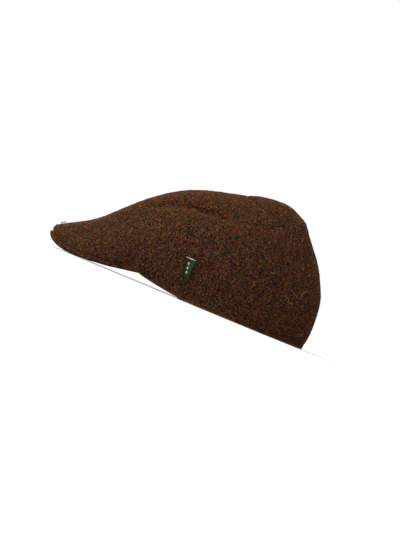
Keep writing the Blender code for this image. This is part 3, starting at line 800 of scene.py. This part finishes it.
def soften(piece, sewn=True):
    """A sewn piece sinks and folds. The stiff peak takes only a share of the seam's dip."""
    mesh = piece.data
    hem = mesh.attributes.new("from_hem", "FLOAT", "POINT")
    outside = mesh.attributes.new("outside", "FLOAT", "POINT")
    moved = []
    for v in mesh.vertices:
        from_middle = (v.co - CROWN_MIDDLE).normalized()
        facing_out = v.normal.dot(from_middle)
        outward = v.normal if facing_out > 0 else -v.normal
        hem_gap = hem_tree.find(v.co)[2]
        shift = (wander(v.co, LUMP) + wander(v.co, SWELL)) * min(1.0, hem_gap / HEM_CALM)
        if not sewn:
            shift -= PEAK_SHARE * seam_dip(v.co)
        elif facing_out > SINKS_IF:
            shift -= seam_dip(v.co)
            shift -= HEM_ROLL[1] * bell(hem_gap - HEM_ROLL[0], HEM_ROLL[2])
        hem.data[v.index].value = min(1.0, hem_gap / HEM_READ)
        outside.data[v.index].value = float(facing_out > HAIRY_IF)
        moved.append(v.co + outward * shift + from_middle * (folded(v.co) if sewn else 0.0))
    for v, place in zip(mesh.vertices, moved):
        gap = foot_tree.find(place)[2]
        pressed = FOOT[1] * max(0.0, 1 - gap / FOOT[0])
        place.z = max(place.z - pressed, 0.0)
        v.co = place
    mesh.update()


for piece in pieces.values():
    soften(piece)
print("softened", len(pieces), "panels")

# %% [markdown]
# The peak is a stiff board with tweed sewn round it, whose front edge shows as a narrow lip. A board and
# a cover could be built, but the board never shows. Its measured solid has the lip and the ledge, so it
# is rounded off, and edge creases keep its sharp edges.

# %% Peak
PEAK_SHARP = math.radians(50)
PEAK_CRISP = 0.35


def is_sharp(edge):
    return len(edge.link_faces) == 2 and edge.calc_face_angle() > PEAK_SHARP


peak_mesh = quads_of("peak")
for edge in crease(peak_mesh, is_sharp, PEAK_CRISP):
    edge.seam = True
peak = piece_of(peak_mesh, "peak_cloth")
unwrap(peak)
add_rounding(peak, 2)
finish_modifiers(peak)
give(peak, tweed)
soften(peak, sewn=False)
print("peak", len(peak.data.polygons), "faces")

# %% [markdown]
# The tab is a narrow satin ribbon, folded double, with both ends caught in the side seam. It is too
# small for a cloth simulation to be worth it, so its measured solid is smoothed. Its flat pattern is
# simply its own width and height, so that an ornament can be placed on it.

# %% Tab: shape
TAB_SHARP = math.radians(40)
TAB_CRISP = 0.8
TAB_LEAN = 0.14  # how far the tab leans along the cap, for each mm of its height

tab_mesh = quads_of("label_tab")
crease(tab_mesh, lambda edge: edge.calc_face_angle() > TAB_SHARP, TAB_CRISP)
tab = piece_of(tab_mesh, "ribbon_tab")
add_rounding(tab, 2)
finish_modifiers(tab)
tab_low, tab_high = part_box("label_tab")
tab_middle = (tab_low + tab_high) / 2
pattern = tab.data.uv_layers.new(name=PATTERN)
for loop in tab.data.loops:
    spot = tab.data.vertices[loop.vertex_index].co - tab_middle
    pattern.data[loop.index].uv = (spot.y + TAB_LEAN * spot.z, spot.z)
tab_height = (max(d.uv.y for d in pattern.data) - min(d.uv.y for d in pattern.data)) / MM
print("tab stands", round(tab_height, 1), "mm tall")

# %% [markdown]
# Satin ribbon is woven of smooth threads, so it is less matt than wool and finely ribbed. This one is
# dark green, with painted shade that makes it darker at the front and lighter at its fold, and it shows
# pale threads where it was cut along the top. Real ribs are about 0.2 mm apart, and are drawn at 0.42 mm
# so that they show.
# Three small woven diamonds, a plain ornament, are a few maths nodes, which stay sharp close up where an
# image would not.

# %% Tab: ribbed green ribbon
RIB = 0.42  # mm
RIB_SHADE = 0.35
RIB_RELIEF = 0.08 * MM
STRAIGHT_BAND = 0.314  # how wide a straight band of a wave texture is at scale 1
# painted shade: the ribbon is darker towards the front, where it turns into the seam, and lighter at its
# fold
SHADE_ACROSS = (-3.0, 4.5)  # mm along the cap, from dark to light

ribbon, tree = new_material("woven_satin_ribbon")
flat = put(tree, "ShaderNodeUVMap", uv_map=PATTERN)
mm = put(tree, "ShaderNodeVectorMath", {0: flat, "Scale": 1 / MM}, operation="SCALE")
spot = put(tree, "ShaderNodeSeparateXYZ", {0: mm})
ribs = put(tree, "ShaderNodeTexWave", {"Vector": mm, "Scale": STRAIGHT_BAND / RIB, "Distortion": 0.6},
           bands_direction="Y")
# painted shade across the tab, from dark at the front to light at the fold
painted_shade_across = put(tree, "ShaderNodeMapRange", {0: spot, 1: SHADE_ACROSS[0], 2: SHADE_ACROSS[1]})
green = stops(put(tree, "ShaderNodeValToRGB", {0: painted_shade_across}), {0.0: "#0a1307", 0.5: "#11210c", 1.0: "#243a17"})
ribbed = put(tree, "ShaderNodeMix", {0: RIB_SHADE, 6: green, 7: ribs}, data_type="RGBA",
             blend_type="MULTIPLY")
print("about", round(tab_height / RIB), "ribs")

# %% Tab: ornament and cut edge
DIAMOND = (0.95, 1.6)  # mm, half its width and half its height
DIAMONDS = 3
DIAMOND_STEP = 4.2  # mm
CUT_EDGE = 0.6  # mm of pale threads
CUT_WAVE = 0.3  # mm
PALE_THREAD = "#8c8d7e"
CUT_THREAD = "#9d9e92"

step = put(tree, "ShaderNodeMath", {0: spot.outputs[1], 1: DIAMOND_STEP / 2}, operation="PINGPONG")
tall = put(tree, "ShaderNodeMath", {0: step, 1: DIAMOND[1]}, operation="DIVIDE")
aside = put(tree, "ShaderNodeMath", {0: spot}, operation="ABSOLUTE")
slanted = put(tree, "ShaderNodeMath", {0: aside, 1: 1 / DIAMOND[0], 2: tall}, operation="MULTIPLY_ADD")
inside = put(tree, "ShaderNodeMath", {0: slanted, 1: 1.0}, operation="LESS_THAN")
above = put(tree, "ShaderNodeMath", {0: spot.outputs[1]}, operation="ABSOLUTE")
near = put(tree, "ShaderNodeMath", {0: above, 1: DIAMONDS / 2 * DIAMOND_STEP}, operation="LESS_THAN")
ornament = put(tree, "ShaderNodeMath", {0: inside, 1: near}, operation="MULTIPLY")
drawn = put(tree, "ShaderNodeMix", {0: ornament, 6: ribbed.outputs[2], 7: colour(PALE_THREAD)},
            data_type="RGBA")
wave = put(tree, "ShaderNodeMath", {0: spot}, operation="SINE")
waved = put(tree, "ShaderNodeMath", {0: wave, 1: CUT_WAVE, 2: spot.outputs[1]}, operation="MULTIPLY_ADD")
cut = put(tree, "ShaderNodeMath", {0: waved, 1: tab_height / 2 - CUT_EDGE}, operation="GREATER_THAN")
whole = put(tree, "ShaderNodeMix", {0: cut, 6: drawn.outputs[2], 7: colour(CUT_THREAD)}, data_type="RGBA")
bump = put(tree, "ShaderNodeBump", {"Strength": 0.5, "Distance": RIB_RELIEF, "Height": ribs.outputs[1]})
shader = put(tree, "ShaderNodeBsdfPrincipled", {
    "Base Color": whole.outputs[2], "Roughness": 0.6, "IOR": 1.5, "Specular IOR Level": 0.1, "Normal": bump})
put(tree, "ShaderNodeOutputMaterial", {"Surface": shader})
give(tab, ribbon)
print(DIAMONDS, "diamonds,", DIAMOND_STEP, "mm apart")

# %% [markdown]
# The press stud is a small spun cap of brass. Its measured solid is a low dome with few sides. It could
# be smoothed, but a turned part is better spun again: a profile with a rounded rim, a slight groove and
# a shallow dome, turned round the solid's own thinnest direction.

# %% Stud: shape
STUD_PROFILE = [(0.0, 0.0), (0.86, 0.0), (0.96, 0.1), (1.0, 0.28), (0.95, 0.48), (0.84, 0.6),
                (0.76, 0.62), (0.7, 0.66), (0.5, 0.85), (0.25, 0.97), (0.0, 1.0)]  # shares: out, up
STUD_SIDES = 48

points = numpy.array([v.co for v in nodes["peak_stud"].data.vertices])
stud_middle = points.mean(0)
points -= stud_middle
_, directions = numpy.linalg.eigh(numpy.cov(points.T))
stud_axis = Vector(directions[:, 0])
if stud_axis.z < 0:
    stud_axis.negate()
heights = points @ numpy.array(stud_axis)
stud_foot = Vector(stud_middle) + stud_axis * heights.min()
stud_tall = heights.max() - heights.min()
stud_wide = numpy.linalg.norm(points - numpy.outer(heights, stud_axis), axis=1).max()
side = stud_axis.orthogonal().normalized()
stud_mesh = bmesh.new()
ring = [stud_mesh.verts.new(stud_foot + side * (r * stud_wide) + stud_axis * (h * stud_tall))
        for r, h in STUD_PROFILE]
line = [stud_mesh.edges.new((a, b)) for a, b in zip(ring, ring[1:])]
bmesh.ops.spin(stud_mesh, geom=ring + line, cent=stud_foot, axis=stud_axis, angle=math.tau,
               steps=STUD_SIDES, use_merge=True)
bmesh.ops.remove_doubles(stud_mesh, verts=stud_mesh.verts, dist=WELD)
bmesh.ops.recalc_face_normals(stud_mesh, faces=stud_mesh.faces)
stud = piece_of(stud_mesh, "press_stud")
add_rounding(stud, 1)
finish_modifiers(stud)
print("stud", round(stud_wide * 2 / MM, 1), "mm wide and", round(stud_tall / MM, 1), "mm tall")

# %% [markdown]
# The brass is plated with nickel and brushed. To the eye it is a grey metal whose reflection is blurred
# by fine scratches. At this size only the blur shows, so there is no bump: a noise of 0.4 mm changes the
# roughness and the tone instead.

# %% Stud: nickel plate
SCRATCHES = 2500.0  # in a metre
ROUGH = (0.22, 0.42)

plated, tree = new_material("brushed_nickel_plate")
spot = put(tree, "ShaderNodeTexCoord")
scratch = put(tree, "ShaderNodeTexNoise", {"Vector": spot.outputs["Object"], "Scale": SCRATCHES})
rough = put(tree, "ShaderNodeMapRange", {0: scratch, 3: ROUGH[0], 4: ROUGH[1]})
dull = stops(put(tree, "ShaderNodeValToRGB", {0: scratch}), {0.3: "#8f9296", 0.7: "#c3c6c9"})
shader = put(tree, "ShaderNodeBsdfPrincipled", {"Base Color": dull, "Metallic": 1.0, "Roughness": rough})
put(tree, "ShaderNodeOutputMaterial", {"Surface": shader})
give(stud, plated)
print("scratches", 1000 / SCRATCHES, "mm apart")

# %% [markdown]
# Felted wool has a fuzz of short loose hairs that lie almost flat and lift at their ends. They blur the
# outline and catch the light. Paint would leave the outline hard, and a hair system isn't exported, so
# Geometry Nodes scatter curved hairs over the outside of each panel.
# They are as matt as the cloth, and a random number gives each of them one of the wool's colours.

# %% Hairs: their wool
hair_wool, tree = new_material("loose_wool_hair")
tint = put(tree, "ShaderNodeAttribute", attribute_name="wool_tint")
shades = stops(put(tree, "ShaderNodeValToRGB", {0: tint.outputs["Fac"]}),
               {0.0: "#23150f", 0.25: "#552815", 0.45: "#443d21", 0.6: "#421810", 0.72: "#6a4b24",
                0.84: "#15151d", 0.96: "#895628"}, "CONSTANT")
shader = put(tree, "ShaderNodeBsdfPrincipled", {
    "Base Color": shades, "Roughness": 0.8, "IOR": 1.55, "Specular IOR Level": 0.0})
put(tree, "ShaderNodeOutputMaterial", {"Surface": shader})
print(len(shades.color_ramp.elements), "shades of hair")

# %% [markdown]
# A hair is a bent line swept by a three-sided section: 18 triangles, as there are tens of thousands.
# Three bends are enough, as each hair is turned, tipped and sized at random. A real one is 0.03 mm
# thick. These are 0.08 mm, so that they show.

# %% Hairs: three bends
# The middle and the tip of each bend, as shares of the hair's length: along, aside and up.
HAIR_SHAPES = [((0.55, 0.22, 0.14), (1.0, 0.05, -0.02)), ((0.45, -0.3, 0.2), (0.95, -0.1, 0.12)),
               ((0.6, 0.35, 0.12), (0.8, 0.75, 0.02))]
HAIR_ROOT = (0.0, 0.0, -0.06)
HAIR_SIDES = 3
HAIR_STEPS = 3

tree = bpy.data.node_groups.new("wool fuzz", "GeometryNodeTree")
for label, kind in (("Geometry", "Geometry"), ("Hairs per square metre", "Float"), ("Length", "Float"),
                    ("Thickness", "Float"), ("Seed", "Int"), ("Material", "Material")):
    tree.interface.new_socket(label, in_out="INPUT", socket_type="NodeSocket" + kind)
tree.interface.new_socket("Geometry", in_out="OUTPUT", socket_type="NodeSocketGeometry")
given = put(tree, "NodeGroupInput").outputs
section = put(tree, "GeometryNodeCurvePrimitiveCircle",
              {"Resolution": HAIR_SIDES, "Radius": given["Thickness"]})
choice = put(tree, "GeometryNodeJoinGeometry")
for bend, tip in HAIR_SHAPES:
    line = put(tree, "GeometryNodeCurveQuadraticBezier",
               {"Resolution": HAIR_STEPS, "Start": HAIR_ROOT, "Middle": bend, "End": tip})
    size = put(tree, "ShaderNodeCombineXYZ", {axis: given["Length"] for axis in range(3)})
    sized = put(tree, "GeometryNodeTransform", {"Geometry": line, "Scale": size})
    tube = put(tree, "GeometryNodeCurveToMesh", {"Curve": sized, "Profile Curve": section})
    one = put(tree, "GeometryNodeGeometryToInstance", {0: tube})
    tree.links.new(one.outputs[0], choice.inputs[0])
print(len(HAIR_SHAPES), "bends of hair")

# %% Hairs: scattered, tipped and tinted
OUTSIDE_FROM = 0.5
TIPPED = ((-0.12, -0.14, 0.0), (0.12, 0.06, math.tau))  # radians, least and most
SIZES = (0.45, 1.25)
LEAST_HEIGHT = 0.2 * MM  # above the table

outside = put(tree, "GeometryNodeInputNamedAttribute", {0: "outside"})
is_outside = put(tree, "FunctionNodeCompare", {0: outside, 1: OUTSIDE_FROM}, operation="GREATER_THAN")
roots = put(tree, "GeometryNodeDistributePointsOnFaces", {
    "Mesh": given["Geometry"], "Selection": is_outside, "Density": given["Hairs per square metre"],
    "Seed": given["Seed"]})
swing = put(tree, "FunctionNodeRandomValue", {0: TIPPED[0], 1: TIPPED[1], "Seed": given["Seed"]},
            data_type="FLOAT_VECTOR")
placed = put(tree, "FunctionNodeRotateRotation", {0: roots.outputs["Rotation"], 1: swing},
             rotation_space="LOCAL")
size = put(tree, "FunctionNodeRandomValue", {2: SIZES[0], 3: SIZES[1], "Seed": given["Seed"]})
hairs = put(tree, "GeometryNodeInstanceOnPoints", {
    "Points": roots, "Instance": choice, "Pick Instance": True, "Rotation": placed,
    "Scale": size.outputs[1]})
tint = put(tree, "FunctionNodeRandomValue", {"Seed": given["Seed"]})
tinted = put(tree, "GeometryNodeStoreNamedAttribute",
             {"Geometry": hairs, "Name": "wool_tint", "Value": tint.outputs[1]}, domain="INSTANCE")
real = put(tree, "GeometryNodeRealizeInstances", {0: tinted})
place = put(tree, "GeometryNodeInputPosition")
spot = put(tree, "ShaderNodeSeparateXYZ", {0: place})
raised = put(tree, "ShaderNodeMath", {0: spot.outputs[2], 1: LEAST_HEIGHT}, operation="MAXIMUM")
clear = put(tree, "ShaderNodeCombineXYZ", {0: spot, 1: spot.outputs[1], 2: raised})
above = put(tree, "GeometryNodeSetPosition", {"Geometry": real, "Position": clear})
dyed = put(tree, "GeometryNodeSetMaterial", {"Geometry": above, "Material": given["Material"]})
put(tree, "NodeGroupOutput", {0: dyed})
fuzz_tree = tree
print("hair tree:", len(tree.nodes), "nodes")

# %% [markdown]
# The tree runs on a copy of each panel. The hairs could stay on the panel itself, but as pieces of their
# own they keep each mesh under 200,000 triangles.

# %% Hairs on each panel
HAIRS = 200000.0
HAIR_LONG = 2.4 * MM
HAIR_THICK = 0.04 * MM  # from its middle to its side
FIRST_SEED = 3
PEAK_SEED = 11

socket = {item.name: item.identifier for item in fuzz_tree.interface.items_tree if item.in_out == "INPUT"}


def fuzz_on(piece, name, seed):
    hairs = in_scene(name, piece.data.copy())
    scatter = hairs.modifiers.new("wool fuzz", "NODES")
    scatter.node_group = fuzz_tree
    sizes = {"Hairs per square metre": HAIRS, "Length": HAIR_LONG, "Thickness": HAIR_THICK}
    for label, value in {**sizes, "Seed": seed, "Material": hair_wool}.items():
        scatter[socket[label]] = value
    finish_modifiers(hairs)
    print(name, len(hairs.data.polygons), "faces")
    return hairs


fuzz = [fuzz_on(piece, panel + "_fuzz", seed)
        for seed, (panel, piece) in enumerate(pieces.items(), FIRST_SEED)]
fuzz.append(fuzz_on(peak, "peak_fuzz", PEAK_SEED))

# %% [markdown]
# A few longer curls of wool have worked loose. Four are at places read off the photograph, and the rest
# are thrown at seeded places round the crown. The tree's hairs could be longer, but they would not lie
# where the photograph shows a curl. So each is a line of points, dropped on the cloth by a ray.

# %% Stray curls: where they lie
CURL_LIFT = 0.35 * MM
RAY_FROM = 0.3  # metres: outside the cap
READ_OFF = [  # the shade, and pixels of the photograph: across and down
    (0, [(305.7, 291.3), (302.5, 291.6), (301.1, 293.2), (300.0, 295.8), (298.7, 297.6)]),
    (0, [(283.2, 295.2), (286.2, 297.4), (286.9, 299.5), (286.1, 301.6), (288.0, 303.2), (289.8, 302.0),
         (290.7, 304.6)]),
    (1, [(289.2, 290.0), (291.4, 292.4), (294.0, 295.2)]),
    (2, [(301.6, 332.9), (300.3, 333.8), (298.6, 335.6)]),
]

all_panels = bmesh.new()
for piece in pieces.values():
    all_panels.from_mesh(piece.data)
cloth_tree = BVHTree.FromBMesh(all_panels)
all_panels.free()


def lifted(origin, direction):
    """Where a ray meets the cloth, a little above it, or None."""
    spot, normal, _, _ = cloth_tree.ray_cast(origin, direction)
    return spot + normal * CURL_LIFT if spot else None


def from_pixel(x, y):
    """The spot of cloth that a pixel of the photograph shows."""
    across = (x - FRAME_WIDE / 2) * PIXEL
    down = (y - FRAME_TALL / 2) * PIXEL
    target = LOOKED_AT + image_right * across - image_up * down
    return lifted(target + towards_camera * RAY_FROM, -towards_camera)


curls = [(shade, [from_pixel(*spot) for spot in spots]) for shade, spots in READ_OFF]
print(len(curls), "curls read off the photograph")

# %% Stray curls: thrown
CURLS = 22
CURL_SEED = 9
CURL_STEPS = 5
WAVE_STEP = 1.9  # radians of the wave from one point to the next
ROUND_THE_BACK = (0.3, 1.7)  # half turns, counted from the left side
HIGH = (0.02, 1.1)
LENGTH = (1.6, 3.4)  # mm for two steps
WAVE = (0.4, 1.3)  # mm


def thrown_curl(chance):
    """A short wavy line on the cloth, at a random place and turned at random."""
    turn = chance.uniform(*ROUND_THE_BACK) * math.pi
    out = Vector((math.cos(turn), math.sin(turn), chance.uniform(*HIGH))).normalized()
    along_cloth = out.orthogonal().normalized()
    along_cloth.rotate(Matrix.Rotation(chance.uniform(0, math.tau), 3, out))
    across_cloth = out.cross(along_cloth)
    length = chance.uniform(*LENGTH) * MM
    wave = chance.uniform(*WAVE) * MM
    line = []
    for step in range(CURL_STEPS):
        offset = along_cloth * (step * length / 2) + across_cloth * (wave * math.sin(step * WAVE_STEP))
        line.append(lifted(CROWN_MIDDLE + offset + out * RAY_FROM, -out))
    return line


chance = random.Random(CURL_SEED)
curls += [(i % 2, thrown_curl(chance)) for i in range(CURLS)]
curls = [(shade, line) for shade, line in curls if None not in line]
print(len(curls), "curls that lie on the cloth with all their points")

# %% [markdown]
# A curl is a few fibres twisted together, 0.2 mm thick, of the same matt wool in a paler or brighter
# dye. A NURBS curve with a round bevel runs smoothly past its points, with less work than a built tube.

# %% Stray curls: from curve to mesh
CURL_THICK = 0.11 * MM  # from its middle to its side
CURL_COLOURS = {"pale_olive_wool": "#8a7433", "orange_wool": "#8f4f1b", "pink_wool": "#8a4a3c"}

curve = bpy.data.curves.new("stray_curls", "CURVE")
curve.dimensions = "3D"
curve.bevel_depth = CURL_THICK
curve.bevel_resolution = 1
curve.resolution_u = 4
curve.use_fill_caps = True
for shade, line in curls:
    spline = curve.splines.new("NURBS")
    spline.points.add(len(line) - 1)
    spline.points.foreach_set("co", [value for spot in line for value in (*spot, 1.0)])
    spline.order_u = 3
    spline.use_endpoint_u = True
    spline.material_index = shade
for name, hex_value in CURL_COLOURS.items():
    wool, tree = new_material(name)
    shader = put(tree, "ShaderNodeBsdfPrincipled", {
        "Base Color": colour(hex_value), "Roughness": 0.75, "IOR": 1.55, "Specular IOR Level": 0.15})
    put(tree, "ShaderNodeOutputMaterial", {"Surface": shader})
    curve.materials.append(wool)
drawn_curls = in_scene("curve_of_curls", curve)
view = bpy.context.evaluated_depsgraph_get()
strays = in_scene("stray_curls", bpy.data.meshes.new_from_object(drawn_curls.evaluated_get(view)))
bpy.data.objects.remove(drawn_curls)
print(len(curls), "curls,", len(strays.data.polygons), "faces")

# %% [markdown]
# Last, each piece is tied to the frame: the body it rides on, and the solid it stands for.

for panel, piece in pieces.items():
    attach(piece, "root")
    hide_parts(panel)
for hairs in fuzz + [strays]:
    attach(hairs, "root")
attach(peak, "root")
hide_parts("peak")
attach(tab, "root")
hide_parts("label_tab")
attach(stud, "root")
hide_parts("peak_stud")
print("tied:", len(pieces), "panels,", len(fuzz), "pieces of fuzz, the curls, peak, tab and stud")
